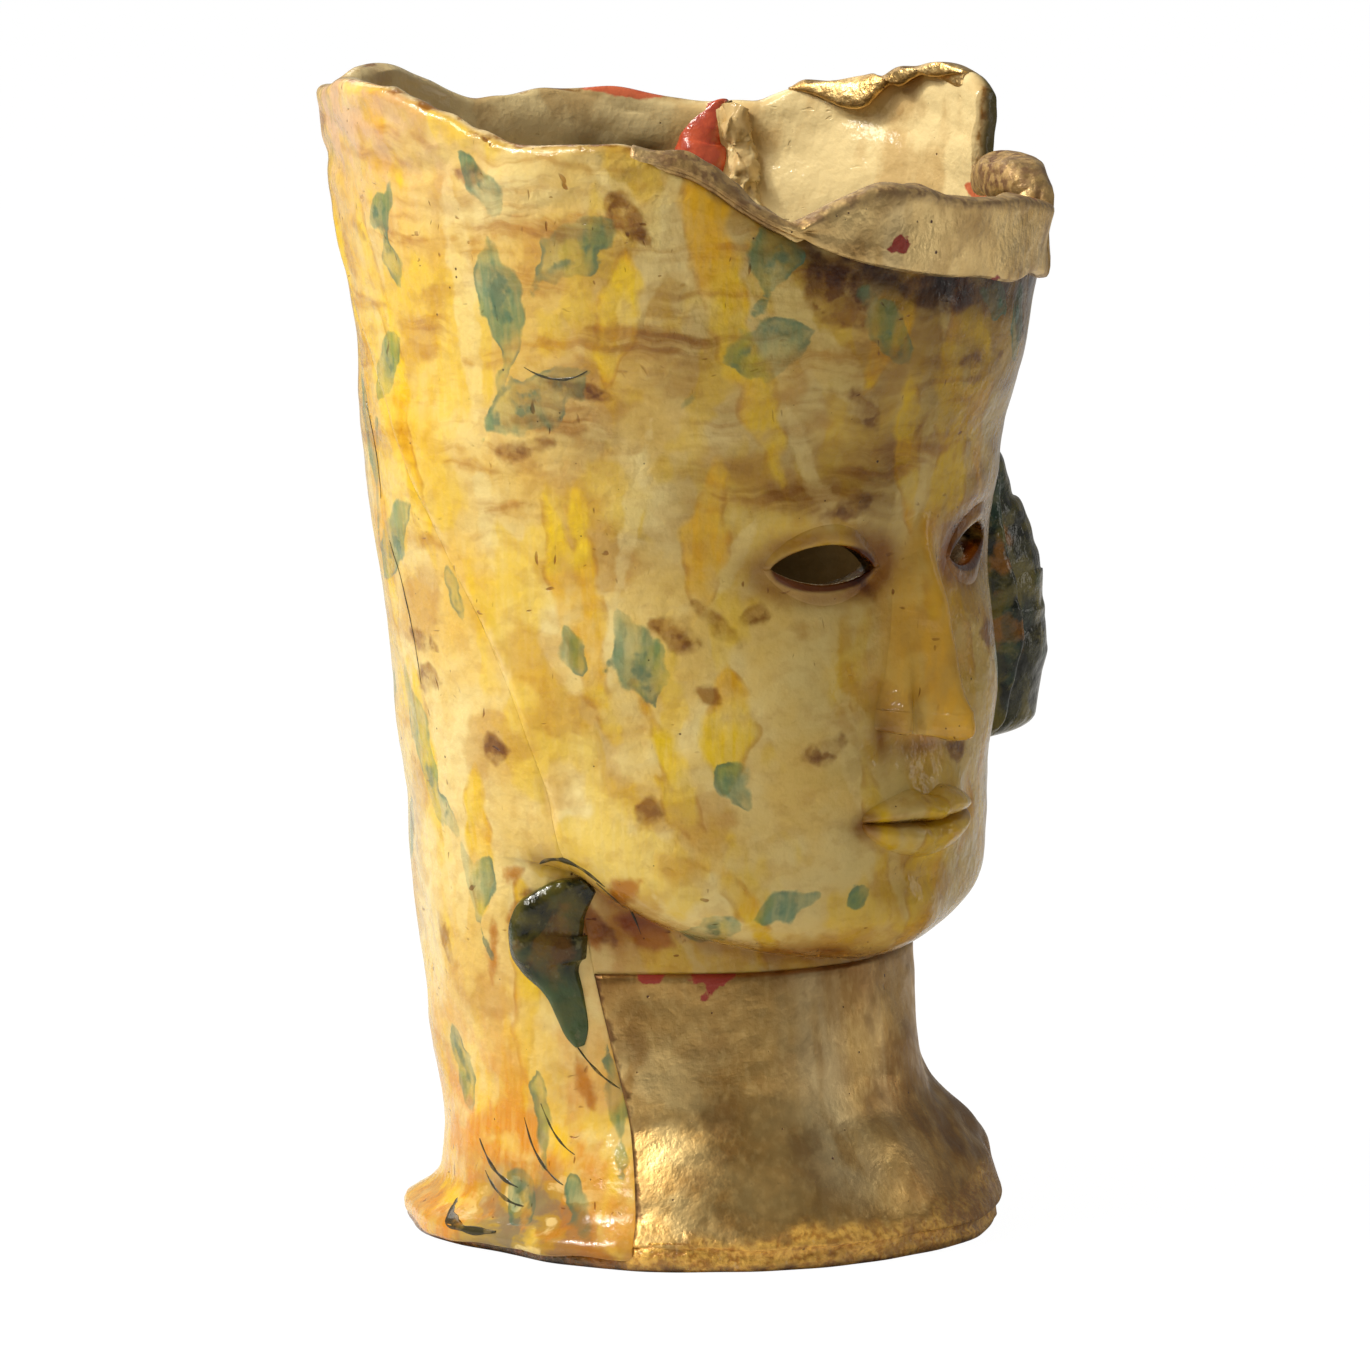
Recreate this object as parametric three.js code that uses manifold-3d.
// Ceramic vase in the form of a head, hand built from rolled slabs, coils and pressed-on pieces
// of clay. Millimetres, +Z up. The origin is the centre of the underside and the face looks
// along -Y. Every piece of clay is its own mesh, and a hair gap stands for each luted joint.
import * as THREE from "three";
import { mergeVertices } from "three/addons/utils/BufferGeometryUtils.js";
import Module from "manifold-3d";

const wasm = await Module();
wasm.setup();

// Heights
const BASE_THICK = 9; // floor slab
const NECK_H = 76; // floor slab to chin
const HEAD_H = 245; // chin to the mean height of the rim

// Radii
const FOOT_BACK_R = 84; // floor slab, behind
const FOOT_FRONT_R = 95; // floor slab, below the face
const FOOT_STEP = 4; // floor slab standing out past the wall on it
const WAIST_R = 72.5; // narrowest part of the back wall
const NECK_R = 68; // gilded neck under the chin
const JAW_BACK_R = 78; // back wall at the height of the chin
const JAW_FRONT_R = 89; // head just above the chin
const EYE_R = 92; // head at eye height, all round
const CROWN_BACK_R = 98; // back wall above the forehead
const CROWN_FRONT_R = 105; // forehead
const RIM_R = 108; // mouth of the vase

// Clay thicknesses and joints
const WALL = 7; // rolled slab
const SEAM = 0.5; // hair gap at a luted joint
const PAD_GAP = 0.6; // pressed-on piece to the curved slab under it
const LAP_GAP = 0.9; // the same under an ear or a folded strip, which lies across a joint
const PAD_EDGE = 0.9; // feathered edge of a pressed-on piece
const DENT = 1.1; // depth of the hand marks in the walls
const CHIN_ROUND = 16; // height of the turn from chin to cheek
const GOLD_LIFT = 1.2; // gilded neck slab standing proud of the back wall
const BAND_THICK = 2.6; // gilded strip folded over the front of the rim
const CAP_H = 4; // clay laid on top of a slab's edge at the rim
const CAP_GAP = 1.2; // that clay to the torn edge under it

// Face, on the usual drawing-book proportions
const EYE_W = 33;
const EYE_H = 14;
const EYE_SPACING = 68; // from the middle of one eye to the other
const SOCKET_DEPTH = 5;
const CHEEK_RISE = 3;
const CHIN_RISE = 4;
const NOSE_RISE = 22;
const NOSE_W = 33;
const LIP_RISE = 5.5;
const MOUTH_W = 48;
const LID_W = 5;
const LID_RISE = 2.4;

// Ears and the rolls at the rim
const LOW_EAR_RISE = 9;
const HIGH_EAR_RISE = 36;
const HIGH_EAR_H = 96;
const HIGH_EAR_W = 34;
const SCROLL_R = 9;
const ROLL_R = 7;

const chinZ = BASE_THICK + NECK_H;
const rimZ = chinZ + HEAD_H;
const eyeZ = chinZ + HEAD_H / 2;
const browZ = eyeZ + EYE_H;
const noseZ = (browZ + chinZ) / 2;
const mouthZ = noseZ - (noseZ - chinZ) / 3;
const crownZ = (eyeZ + rimZ) / 2;

const rad = (degrees) => (degrees * Math.PI) / 180;
const mix = (a, b, t) => a + (b - a) * t;
const clamp01 = (t) => Math.min(1, Math.max(0, t));
const bump = (distance, width) => Math.exp(-((distance / width) ** 2));
const wrap = (angle) => ((angle + 540) % 360) - 180;

function ease(from, to, value) {
  const t = clamp01((value - from) / (to - from));
  return t * t * (3 - 2 * t);
}

// A smooth curve y(x) through points [x, y], level where the points turn.
function through(points) {
  const slope = points.map((p, i) => {
    const before = points[i - 1];
    const after = points[i + 1];
    if (!before || !after) return 0;
    const rise = (p[1] - before[1]) / (p[0] - before[0]);
    const next = (after[1] - p[1]) / (after[0] - p[0]);
    return rise * next <= 0 ? 0 : (2 * rise * next) / (rise + next);
  });
  return (x) => {
    const last = points.length - 1;
    if (x <= points[0][0]) return points[0][1];
    if (x >= points[last][0]) return points[last][1];
    const i = points.findIndex((p) => p[0] > x) - 1;
    const width = points[i + 1][0] - points[i][0];
    const t = (x - points[i][0]) / width;
    const rise = points[i + 1][1] - points[i][1];
    const bend = slope[i] * width * t * (1 - t) ** 2 - slope[i + 1] * width * t * t * (1 - t);
    return points[i][1] + rise * t * t * (3 - 2 * t) + bend;
  };
}

// Upright outlines of the outside, [height, radius]
const backWall = through([
  [BASE_THICK, FOOT_BACK_R - FOOT_STEP],
  [BASE_THICK + 5, WAIST_R + 2],
  [BASE_THICK + 11, WAIST_R + 0.5],
  [BASE_THICK + 27, WAIST_R],
  [chinZ - 20, mix(WAIST_R, JAW_BACK_R, 0.45)],
  [chinZ, JAW_BACK_R],
  [eyeZ, EYE_R],
  [crownZ, CROWN_BACK_R],
  [rimZ, RIM_R - 2],
  [rimZ + 20, RIM_R + 1],
]);
const frontNeck = through([
  [BASE_THICK, FOOT_FRONT_R - FOOT_STEP],
  [BASE_THICK + 9, FOOT_FRONT_R - FOOT_STEP - 3],
  [BASE_THICK + 22, NECK_R + 12],
  [BASE_THICK + 32, NECK_R + 5],
  [BASE_THICK + 42, NECK_R + 2.5],
  [chinZ, NECK_R],
]);
const frontHead = through([
  [chinZ, JAW_FRONT_R],
  [mouthZ, EYE_R - 1],
  [eyeZ, EYE_R],
  [browZ + 20, EYE_R + 5],
  [crownZ, CROWN_FRONT_R],
  [rimZ - 30, RIM_R],
  [rimZ, RIM_R + 1],
]);

// Angles run from 0 at the face to +90 at +X. 1 at the face, 0 behind the ears.
function frontShare(angle) {
  return ease(Math.cos(rad(95)), Math.cos(rad(40)), Math.cos(rad(angle)));
}

// Torn edge of the mouth, [degrees, height about the mean rim], on the front and the back slabs
const frontTear = through([
  [-150, 12],
  [-136, 14],
  [-110, 18],
  [-92, 11],
  [-78, 3],
  [-64, 5],
  [-50, 0],
  [-33, -16],
  [-16, -9],
  [0, -14],
  [20, -17],
  [40, -22],
  [70, -24],
]);
const backTear = through([
  [62, 0],
  [72, 9],
  [81, 12],
  [90, 9],
  [97, 4.5],
  [104, 4.3],
  [108, 4],
  [113, -1],
  [119, -3.5],
  [131, -1],
  [150, 3],
  [167, 0],
  [178, 8],
  [192, 15],
  [210, 12],
  [224, 14],
  [250, 18],
]);
const frontRim = (angle) => rimZ + frontTear(angle);
const backRim = (angle) => rimZ + backTear(angle);

// Stretches of the rim where a folded strip or a roll sits on the slab's edge
const BAND = [-58, 38];
const SCROLL = [38.4, 62];
const ROLL = [73, 111];
const CLEAR = 6; // degrees by which the lowered edge under it runs on past its ends
function inside(angle, [from, to]) {
  return ease(from - 2 * CLEAR, from - CLEAR, angle) * (1 - ease(to + CLEAR, to + 2 * CLEAR, angle));
}
const frontTop = (angle) =>
  frontRim(angle) - CAP_H * Math.max(inside(angle, BAND), inside(angle, SCROLL));
const backTop = (angle) => backRim(angle) - CAP_H * inside(angle, ROLL);

// Upright joints between slabs, as an angle at each height
const leftSeam = through([
  [BASE_THICK, -59],
  [chinZ, -71],
  [chinZ + 66, -80],
  [eyeZ, -98],
  [eyeZ + 43, -116],
  [crownZ + 22, -134],
  [rimZ + 15, -144],
]);
const rightSeam = through([
  [BASE_THICK, 58],
  [chinZ, 64],
  [chinZ + 30, 71],
  [rimZ, 68],
]);
const REAR_SEAM = 123;

// Hand marks: slow waves that close round the vase
function dents(angle, z) {
  const a = rad(angle);
  const slow = 0.45 * Math.sin(3 * a + z / 31);
  const middle = 0.3 * Math.sin(7 * a - z / 19 + 1.3);
  const quick = 0.25 * Math.sin(10 * a + z / 12 + 0.4);
  return DENT * (slow + middle + quick);
}

// The corner pinched into the wall behind the left ear, and the swell at the right of the foot
function pinches(angle, z) {
  const turned = wrap(angle);
  const corner = 2 * bump(turned + 138, 9) * ease(crownZ, rimZ + 10, z);
  const swell = 8 * bump(turned - 50, 20) * bump(z - BASE_THICK - 14, 14);
  return corner + swell;
}

// Sideways place on the face, as seen from the front
const faceX = (angle) => EYE_R * Math.sin(rad(angle));
const faceAngle = (x) => (Math.asin(x / EYE_R) * 180) / Math.PI;

// Raised and hollowed parts of the face slab itself
function faceRelief(angle, z) {
  if (Math.abs(wrap(angle)) > 85) return 0;
  const x = faceX(angle);
  const side = Math.abs(x);
  const eye = EYE_SPACING / 2;
  const socket = -SOCKET_DEPTH * bump(side - eye, EYE_W / 1.8) * bump(z - eyeZ, EYE_H);
  const brow = 2.5 * bump(z - browZ - 3, 9) * bump(side - eye, EYE_W / 1.4);
  const cheek = CHEEK_RISE * bump(side - 1.2 * eye, 20) * bump(z - noseZ - 12, 22);
  const muzzle = 4 * bump(x, 0.6 * MOUTH_W) * bump(z - mouthZ, 18);
  const chin = CHIN_RISE * bump(x, 17) * bump(z - chinZ - CHIN_ROUND, 11);
  return socket + brow + cheek + muzzle + chin;
}

// Height of the corner where the jaw turns out from the neck
const jawRise = through([
  [0, 1.5],
  [20, 4],
  [40, 9],
  [55, 15],
  [66, 22.5],
  [76, 31],
  [90, 34],
]);
const jawZ = (angle) => chinZ + jawRise(Math.abs(wrap(angle)));

// Radius of the outside of the clay walls
function outerR(angle, z) {
  const share = frontShare(angle);
  const neck = mix(backWall(z), frontNeck(z), share);
  const head = mix(backWall(z), frontHead(z), share) + faceRelief(angle, z);
  const turn = clamp01((z - jawZ(angle)) / CHIN_ROUND);
  const out = Math.sqrt(1 - (1 - turn) ** 2);
  return mix(neck, head, out) + dents(angle, z) + pinches(angle, z);
}

function skin(angle, z) {
  const a = rad(angle);
  const r = outerR(angle, z);
  return new THREE.Vector3(r * Math.sin(a), -r * Math.cos(a), z);
}

// Way out of the wall, level at the foot and at the joint under the chin
function wayOut(angle, z) {
  const level = new THREE.Vector3(Math.sin(rad(angle)), -Math.cos(rad(angle)), 0);
  const along = skin(angle + 1, z).sub(skin(angle - 1, z));
  const up = skin(angle, z + 1).sub(skin(angle, z - 1));
  const square = along.cross(up).normalize();
  const offFoot = ease(0, 8, z - BASE_THICK);
  const offChin = z < chinZ ? ease(0, 5, chinZ - z) : ease(0, 4, z - chinZ);
  return level.lerp(square, offFoot * offChin).normalize();
}

// A point at a distance out of the wall, or into it where the distance is below zero
function onWall(angle, z, distance) {
  return skin(angle, z).addScaledVector(wayOut(angle, z), distance);
}

// A closed mesh from points and triangles, turned so that its faces point out
function closedMesh(points, triangles) {
  let volume = 0;
  for (const [a, b, c] of triangles) {
    volume += points[a].dot(points[b].clone().cross(points[c]));
  }
  const faces = volume < 0 ? triangles.map(([a, b, c]) => [a, c, b]) : triangles;
  const geometry = new THREE.BufferGeometry().setFromPoints(points);
  geometry.setIndex(faces.flat());
  return geometry;
}

// Clay laid on the wall: a grid of columns by rows, whose outside and back lie at the given
// distances from the wall. place(u, v) gives [angle, height], with u and v from 0 to 1.
function clay(columns, rows, place, outside, back) {
  const points = [];
  for (const distance of [outside, back]) {
    for (let i = 0; i <= columns; i++) {
      for (let j = 0; j <= rows; j++) {
        const u = i / columns;
        const v = j / rows;
        points.push(onWall(...place(u, v), distance(u, v)));
      }
    }
  }
  const half = points.length / 2;
  const at = (i, j) => i * (rows + 1) + j;
  const triangles = [];
  const quad = (a, b, c, d) => triangles.push([a, b, c], [a, c, d]);
  for (let i = 0; i < columns; i++) {
    for (let j = 0; j < rows; j++) {
      const [a, b, c, d] = [at(i, j), at(i + 1, j), at(i + 1, j + 1), at(i, j + 1)];
      quad(a, b, c, d);
      quad(half + a, half + d, half + c, half + b);
    }
  }
  for (let i = 0; i < columns; i++) {
    quad(at(i, 0), half + at(i, 0), half + at(i + 1, 0), at(i + 1, 0));
    quad(at(i, rows), at(i + 1, rows), half + at(i + 1, rows), half + at(i, rows));
  }
  for (let j = 0; j < rows; j++) {
    quad(at(0, j), at(0, j + 1), half + at(0, j + 1), half + at(0, j));
    quad(at(columns, j), half + at(columns, j), half + at(columns, j + 1), at(columns, j + 1));
  }
  return closedMesh(points, triangles);
}

// A closed skin over rings of points, each ring all in one order; flatten gives a point of an
// end ring in that end's own plane
function loft(rings, flatten) {
  const size = rings[0].length;
  const triangles = [];
  for (let i = 0; i < rings.length - 1; i++) {
    for (let j = 0; j < size; j++) {
      const next = (j + 1) % size;
      const [a, b] = [i * size + j, i * size + next];
      triangles.push([a, b, b + size], [a, b + size, a + size]);
    }
  }
  const last = rings.length - 1;
  for (const end of [0, last]) {
    const outline = rings[end].map(flatten);
    const turn = THREE.ShapeUtils.area(outline) * (end === last ? 1 : -1);
    for (const face of THREE.ShapeUtils.triangulateShape(outline, [])) {
      const ahead = THREE.ShapeUtils.area(face.map((k) => outline[k])) * turn > 0;
      const [a, b, c] = face.map((k) => end * size + k);
      triangles.push(ahead ? [a, b, c] : [a, c, b]);
    }
  }
  return closedMesh(rings.flat(), triangles);
}
const fromAbove = (p) => new THREE.Vector2(p.x, p.y);
const fromSide = (p) => new THREE.Vector2(Math.hypot(p.x, p.y), p.z);

// Heights of the rows of the head at an angle: one at the joint, four round the turn of the
// jaw, then close rows over the face and wide rows up to the rim
const TURN_ROWS = 4;
const FACE_ROWS = 18;
const CROWN_ROWS = 9;
const HEAD_ROWS = 1 + TURN_ROWS + FACE_ROWS + CROWN_ROWS;
const faceTop = browZ + 10;
function headRow(angle, top, row) {
  if (row === 0) return chinZ + SEAM;
  const jaw = jawZ(angle);
  const turned = row - 1;
  if (turned <= TURN_ROWS) {
    return jaw + CHIN_ROUND * (1 - Math.cos((turned / TURN_ROWS) * (Math.PI / 2)));
  }
  const cheek = jaw + CHIN_ROUND;
  const faced = (turned - TURN_ROWS) / FACE_ROWS;
  if (faced <= 1) return mix(cheek, faceTop, faced);
  return mix(faceTop, top, (turned - TURN_ROWS - FACE_ROWS) / CROWN_ROWS);
}

// Heights of the rows between the floor slab and the joint under the chin
const NECK_LEVELS = [0, 0.08, 0.17, 0.28, 0.4, 0.53, 0.68, 0.84, 1];
const neckRow = (row, top) => mix(BASE_THICK + SEAM, top, NECK_LEVELS[row]);

// Where a slab's column and row lie between its two upright joints, less half a hair gap each
function between(left, right, height) {
  return (u) => {
    let z = height(mix(left(eyeZ), right(eyeZ), u));
    let angle = 0;
    for (let pass = 0; pass < 12; pass++) {
      const gap = (SEAM / 2 / outerR(left(z), z)) * (180 / Math.PI);
      angle = mix(left(z) + gap, right(z) - gap, u);
      z = height(angle);
    }
    return [angle, z];
  };
}

const slabOutside = () => 0;
const slabBack = () => -WALL;

function faceSlab(columns) {
  const place = (u, v) => {
    const row = Math.round(v * HEAD_ROWS);
    return between(leftSeam, rightSeam, (angle) => headRow(angle, frontTop(angle), row))(u);
  };
  return clay(columns, HEAD_ROWS, place, slabOutside, slabBack);
}

function neckSlab(columns) {
  const rows = NECK_LEVELS.length - 1;
  const place = (u, v) => {
    const row = Math.round(v * rows);
    return between(leftSeam, rightSeam, () => neckRow(row, chinZ))(u);
  };
  return clay(columns, rows, place, () => GOLD_LIFT, slabBack);
}

// A back slab runs from the foot to the rim, with every other row of the head below the brow
function backSlab(columns, left, right) {
  const skipped = TURN_ROWS + FACE_ROWS;
  const headRows = [0, 1];
  for (let row = 3; row <= HEAD_ROWS; row += row <= skipped ? 2 : 1) headRows.push(row);
  const rows = NECK_LEVELS.length - 1 + headRows.length;
  const place = (u, v) => {
    const row = Math.round(v * rows);
    const head = row - NECK_LEVELS.length + 1;
    const height = (angle) =>
      head <= 0 ? neckRow(row, chinZ) : headRow(angle, backTop(angle), headRows[head - 1]);
    return between(left, right, height)(u);
  };
  return clay(columns, rows, place, slabOutside, slabBack);
}

// Floor slab with a soft wavy edge
function floorSlab(sides) {
  const ring = (z, inset) =>
    Array.from({ length: sides }, (_, i) => {
      const angle = (360 * i) / sides;
      const wave = 0.8 * Math.sin(5 * rad(angle) + 1) + 0.5 * Math.sin(9 * rad(angle));
      const r = mix(FOOT_BACK_R, FOOT_FRONT_R, frontShare(angle)) + wave - inset;
      return new THREE.Vector3(r * Math.sin(rad(angle)), -r * Math.cos(rad(angle)), z);
    });
  const t = BASE_THICK;
  const rings = [ring(0, 2), ring(0.25 * t, 0.4), ring(0.6 * t, 0), ring(0.85 * t, 0.8), ring(t, 2)];
  return loft(rings, fromAbove);
}

// Edge of the cut eye: side +1 over it, -1 under it; u from the nose to the temple
function eyeEdge(hand, side, u, grow) {
  const reach = EYE_W / 2 + grow;
  const across = (2 * u - 1) * reach;
  const high = (side > 0 ? 0.58 : 0.42) * EYE_H + grow;
  const tilt = 1.5 * (u - 0.5);
  const x = hand * (EYE_SPACING / 2 + across);
  return [x, eyeZ + tilt + side * high * Math.sin(Math.PI * u) ** 0.75];
}

function eyeCutter(hand) {
  const turn = rad(faceAngle((hand * EYE_SPACING) / 2));
  const steps = 10;
  const outline = [];
  for (const side of [-1, 1]) {
    for (let i = 0; i < steps; i++) {
      const u = side < 0 ? i / steps : 1 - i / steps;
      const [x, z] = eyeEdge(hand, side, u, 0);
      const angle = faceAngle(x);
      outline.push(new THREE.Vector2(outerR(angle, z) * Math.sin(rad(angle) - turn), z));
    }
  }
  const cutter = new THREE.ExtrudeGeometry(new THREE.Shape(outline), {
    depth: 4 * WALL,
    bevelEnabled: false,
  });
  cutter.rotateX(Math.PI / 2);
  cutter.translate(0, -EYE_R + 3 * WALL, 0);
  cutter.rotateZ(turn);
  return cutter;
}

function solid(geometry) {
  const bare = geometry.clone();
  bare.deleteAttribute("normal");
  bare.deleteAttribute("uv");
  const merged = mergeVertices(bare);
  const vertProperties = new Float32Array(merged.attributes.position.array);
  const triVerts = new Uint32Array(merged.index.array);
  return new wasm.Manifold(new wasm.Mesh({ numProp: 3, vertProperties, triVerts }));
}

function surface(shape) {
  const { vertProperties, triVerts } = shape.getMesh();
  const geometry = new THREE.BufferGeometry();
  geometry.setAttribute("position", new THREE.BufferAttribute(vertProperties, 3));
  geometry.setIndex(new THREE.BufferAttribute(triVerts, 1));
  return geometry;
}

function faceWithEyes() {
  let face = solid(faceSlab(33));
  for (const hand of [-1, 1]) face = face.subtract(solid(eyeCutter(hand)));
  return surface(face);
}

// A pressed-on piece on the face, with its grid placed by [sideways, height]
function pressed(columns, rows, place, rise) {
  const onFace = (u, v) => {
    const [x, z] = place(u, v);
    return [faceAngle(x), z];
  };
  const outside = (u, v) => PAD_GAP + PAD_EDGE + rise(u, v);
  return clay(columns, rows, onFace, outside, () => PAD_GAP);
}

function nose() {
  const top = browZ - 4;
  const halfWidth = through([
    [0, NOSE_W / 2],
    [0.14, NOSE_W / 2],
    [0.4, 0.27 * NOSE_W],
    [1, 0.22 * NOSE_W],
  ]);
  const ridge = through([
    [0, 0.62 * NOSE_RISE],
    [0.13, NOSE_RISE],
    [0.6, 0.5 * NOSE_RISE],
    [1, 0.02 * NOSE_RISE],
  ]);
  const wing = through([
    [0, 0.2 * NOSE_RISE],
    [0.12, 0.26 * NOSE_RISE],
    [0.32, 0],
  ]);
  const place = (u, v) => [(2 * u - 1) * halfWidth(v), mix(noseZ, top, v)];
  const rise = (u, v) => {
    const s = 2 * u - 1;
    const roof = ridge(v) * (1 - Math.abs(s)) ** 0.85 * (1 - 0.3 * Math.abs(s));
    return roof + wing(v) * bump(Math.abs(s) - 0.7, 0.24);
  };
  return pressed(12, 12, place, rise);
}

// Lips: side +1 is the upper one, -1 the lower one
function lip(side) {
  const full = side > 0 ? 9 : 11;
  const bow = (u) => (side > 0 ? 1 - 0.18 * bump(u - 0.5, 0.09) : 1);
  const line = mouthZ + side * (SEAM / 2 + 0.1);
  const place = (u, v) => {
    const tall = 1 + full * bow(u) * Math.sin(Math.PI * u) ** 0.7;
    return [(u - 0.5) * MOUTH_W * (1 - 0.06 * v), line + side * tall * v];
  };
  const rise = (u, v) => {
    const swell = Math.sin(Math.PI * mix(0.22, 1, v));
    return LIP_RISE * Math.sin(Math.PI * u) ** 0.8 * Math.max(0, swell);
  };
  return pressed(14, 5, place, rise);
}

// Lids: a strip along one edge of the cut eye
function lid(hand, side) {
  const place = (u, v) => {
    const along = mix(0.03, 0.97, u);
    return eyeEdge(hand, side, along, 0.5 + v * LID_W * mix(0.25, 1, Math.sin(Math.PI * u)));
  };
  const rise = (u, v) => LID_RISE * Math.sin(Math.PI * u) * Math.sin(Math.PI * mix(0.3, 1, v));
  return pressed(12, 3, place, rise);
}

// A strip of clay along a path on the wall; points of the path are [angle, height], and its
// half width and rise are given along it
function strip(path, columns, rows, halfWidth, rise) {
  const count = path.length - 1;
  const angles = through(path.map((p, i) => [i / count, p[0]]));
  const heights = through(path.map((p, i) => [i / count, p[1]]));
  const mmPerDegree = rad(1) * JAW_FRONT_R;
  const place = (u, v) => {
    const step = 0.01;
    const [u0, u1] = [Math.max(0, u - step), Math.min(1, u + step)];
    const run = (angles(u1) - angles(u0)) * mmPerDegree;
    const climb = heights(u1) - heights(u0);
    const length = Math.hypot(run, climb);
    const off = (2 * v - 1) * halfWidth(u);
    return [
      angles(u) - ((climb / length) * off) / mmPerDegree,
      heights(u) + (run / length) * off,
    ];
  };
  const outside = (u, v) => LAP_GAP + PAD_EDGE + rise(u, v);
  return clay(columns, rows, place, outside, () => LAP_GAP);
}

// Low ear: a thick flap that hooks over a hollow at the corner of the jaw and ends in a tail
function lowEar() {
  const path = [
    [-71, chinZ + 27],
    [-77, chinZ + 21],
    [-80.5, chinZ + 12],
    [-80, chinZ + 3],
    [-77.5, chinZ - 7],
    [-74.5, chinZ - 22],
  ];
  const half = through([
    [0, 2],
    [0.2, 8],
    [0.42, 12.5],
    [0.58, 11.5],
    [0.72, 7],
    [0.9, 5],
    [1, 1.4],
  ]);
  const height = through([
    [0, 0.3],
    [0.3, 0.8],
    [0.55, 1],
    [0.75, 0.55],
    [1, 0.15],
  ]);
  const rise = (u, v) => LOW_EAR_RISE * height(u) * Math.sin(Math.PI * mix(0.12, 0.95, v)) ** 0.7;
  return strip(path, 18, 5, half, rise);
}

// High ear: a shell as tall as from brow to nose, standing off the head along its rear edge
function highEar() {
  const bottom = noseZ - 14;
  const path = [
    [66, bottom],
    [65, bottom + 0.5 * HIGH_EAR_H],
    [63, bottom + HIGH_EAR_H],
  ];
  const half = through([
    [0, 0.16 * HIGH_EAR_W],
    [0.18, 0.38 * HIGH_EAR_W],
    [0.6, 0.5 * HIGH_EAR_W],
    [0.85, 0.42 * HIGH_EAR_W],
    [1, 0.12 * HIGH_EAR_W],
  ]);
  const height = through([
    [0, 0.35],
    [0.15, 0.95],
    [0.33, 1.1],
    [0.5, 1],
    [0.68, 0.7],
    [0.85, 0.42],
    [1, 0.1],
  ]);
  const across = through([
    [0, 0.25],
    [0.3, 1],
    [0.45, 0.85],
    [0.7, 0.35],
    [0.88, 0.4],
    [1, 0.12],
  ]);
  return strip(path, 18, 9, half, (u, v) => HIGH_EAR_RISE * height(u) * across(v));
}

// Ring of points round the wall's edge at an angle; each point is [out of the wall, height]
function edgeRing(angle, section) {
  return section.map(([out, z]) => onWall(angle, z, out));
}

// Gilded strip over the front of the rim, [degrees, drop of its lower edge below the mean rim]
const bandDrop = through([
  [BAND[0], -1],
  [-45, -10],
  [-33, -22],
  [-20, -30],
  [0, -38],
  [BAND[1], -43],
]);

function rimFold(stations) {
  const rings = [];
  for (let i = 0; i <= stations; i++) {
    const angle = mix(BAND[0], BAND[1], i / stations);
    const top = frontRim(angle);
    const edge = top - CAP_H + CAP_GAP;
    const low = Math.min(rimZ + bandDrop(angle), edge - 2);
    const [near, far] = [LAP_GAP, LAP_GAP + BAND_THICK];
    rings.push(
      edgeRing(angle, [
        [near, low],
        [mix(near, far, 0.6), low],
        [far, mix(low, top, 0.35)],
        [far, top - 1.5],
        [mix(-WALL, far, 0.6), top],
        [-WALL + 1, top - 0.6],
        [-WALL - 0.6, top - 1.4],
        [-WALL, edge],
        [near, edge],
        [near, mix(low, edge, 0.67)],
        [near, mix(low, edge, 0.33)],
      ]),
    );
  }
  return loft(rings, fromSide);
}

// Scroll: the end of the strip, standing up and curled in over the slab's edge
function rimScroll(stations) {
  const rings = [];
  for (let i = 0; i <= stations; i++) {
    const t = i / stations;
    const angle = mix(SCROLL[0], SCROLL[1], t);
    const edge = frontRim(angle) - CAP_H + CAP_GAP;
    const low = rimZ + bandDrop(angle) + 14 * t * t;
    const size = SCROLL_R * mix(0.3, 1, Math.sin(Math.PI * mix(0.1, 0.8, t)));
    const [near, far] = [LAP_GAP, LAP_GAP + BAND_THICK];
    rings.push(
      edgeRing(angle, [
        [near, low],
        [mix(near, far, 0.6), low],
        [far, mix(low, edge, 0.4)],
        [far, edge + 0.9 * size],
        [far - 0.35 * size, edge + 1.7 * size],
        [-0.6 * size, edge + 2.1 * size],
        [-1.5 * size, edge + 1.9 * size],
        [-2 * size, edge + 1.2 * size],
        [-1.7 * size, edge + 0.6 * size],
        [-1.25 * size, edge + 0.8 * size],
        [-0.9 * size, edge + 1.1 * size],
        [-0.75 * size, edge + 0.5 * size],
        [-WALL, edge],
        [near, edge],
        [near, mix(low, edge, 0.67)],
        [near, mix(low, edge, 0.33)],
      ]),
    );
  }
  return loft(rings, fromSide);
}

// Roll: the rim behind it, turned in and down
function rimRoll(stations) {
  const rings = [];
  for (let i = 0; i <= stations; i++) {
    const t = i / stations;
    const angle = mix(ROLL[0], ROLL[1], t);
    const top = backRim(angle);
    const edge = top - CAP_H + CAP_GAP;
    const size = ROLL_R * mix(0.35, 1, Math.sin(Math.PI * t));
    rings.push(
      edgeRing(angle, [
        [-WALL, edge],
        [0, edge],
        [0, top - 1],
        [-2, top],
        [-WALL - 0.5 * size, top],
        [-WALL - size, top - 0.4 * size],
        [-WALL - 1.1 * size, top - 1.1 * size],
        [-WALL - 0.6 * size, top - 1.2 * size],
        [-WALL - 0.4 * size, top - 0.7 * size],
      ]),
    );
  }
  return loft(rings, fromSide);
}

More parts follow.
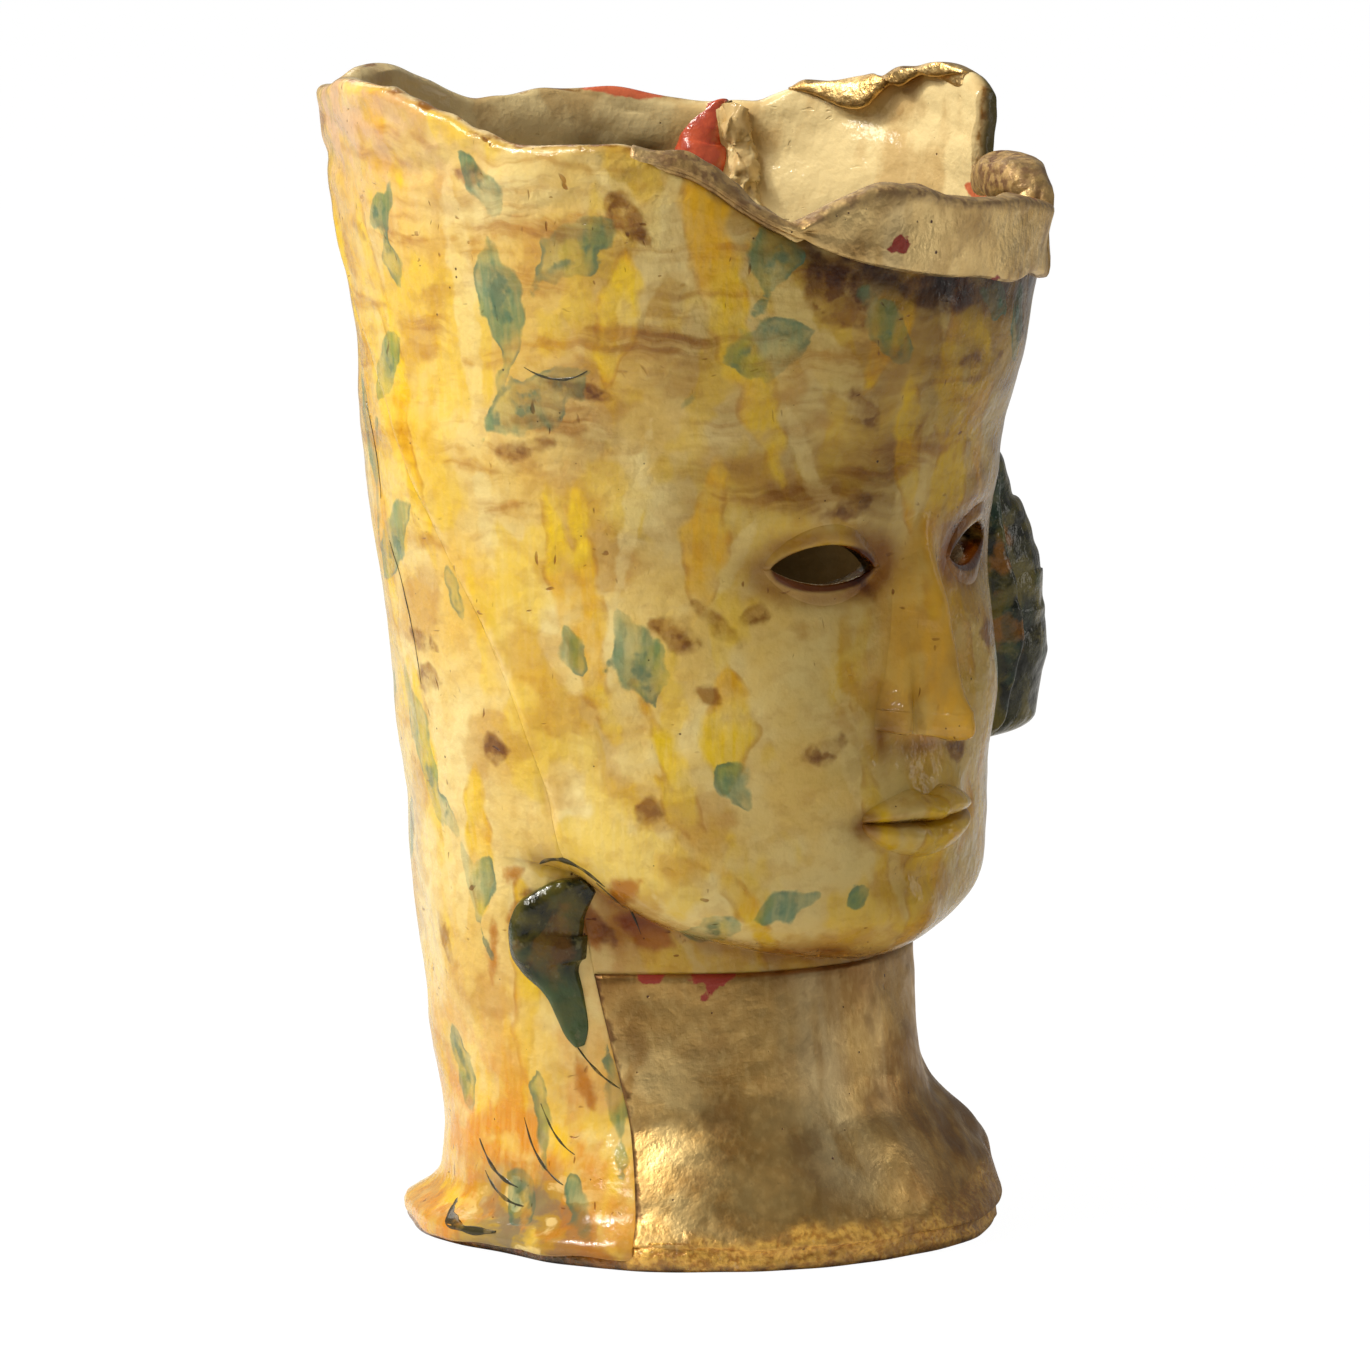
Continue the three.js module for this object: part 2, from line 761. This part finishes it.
// Clay pressed along the rear joint on the inside: a smooth fillet and a crumpled ridge
function insideStrip(from, to, low, high, rise) {
  const place = (u, v) => [mix(from, to, u), mix(low, Math.min(high(from), high(to)) - 3, v)];
  const outside = (u, v) => -WALL - PAD_GAP - PAD_EDGE - rise(u, v);
  return clay(5, 12, place, () => -WALL - PAD_GAP, outside);
}
const seamFillet = () => {
  const rise = (u, v) => 5 * Math.sin(Math.PI * u) ** 0.8 * ease(0, 0.3, v);
  return insideStrip(REAR_SEAM + 1, REAR_SEAM + 10, rimZ - 80, backTop, rise);
};
const seamRidge = () => {
  const rise = (u, v) => (5 + 2 * Math.sin(14 * v)) * Math.sin(Math.PI * u) * ease(0, 0.3, v);
  return insideStrip(REAR_SEAM - 8, REAR_SEAM - 1, rimZ - 105, backTop, rise);
};

const glaze = (color) => new THREE.MeshStandardMaterial({ color, roughness: 0.25, metalness: 0 });
const gilding = (color) => new THREE.MeshStandardMaterial({ color, roughness: 0.4, metalness: 1 });
const cream = glaze(0xd9bb78);
const yellow = glaze(0xdcb65c);
const olive = glaze(0xb08f45);
const red = glaze(0xb83a22);
const green = glaze(0x2f4030);
const bare = new THREE.MeshStandardMaterial({ color: 0xa8813f, roughness: 0.6, metalness: 0 });
const gold = gilding(0xa98445);
const darkGold = gilding(0x8f6f38);

const vase = new THREE.Group();
function add(name, geometry, material) {
  const mesh = new THREE.Mesh(geometry, material);
  mesh.name = name;
  vase.add(mesh);
}

add("base_slab", floorSlab(44), bare);
add("neck_slab", neckSlab(20), gold);
add("back_slab_left", backSlab(12, () => REAR_SEAM, (z) => 360 + leftSeam(z)), cream);
add("back_slab_right", backSlab(8, rightSeam, () => REAR_SEAM), yellow);
add("face_slab", faceWithEyes(), olive);
add("nose", nose(), olive);
add("upper_lip", lip(1), olive);
add("lower_lip", lip(-1), olive);
for (const [hand, owner] of [
  [-1, "right"],
  [1, "left"],
]) {
  add(`${owner}_upper_lid`, lid(hand, 1), olive);
  add(`${owner}_lower_lid`, lid(hand, -1), olive);
}
add("right_ear", lowEar(), green);
add("left_ear", highEar(), green);
add("rim_fold_front", rimFold(18), darkGold);
add("rim_scroll", rimScroll(8), darkGold);
add("rear_rim_roll", rimRoll(9), gold);
add("seam_fillet", seamFillet(), red);
add("seam_ridge", seamRidge(), cream);

export default vase;
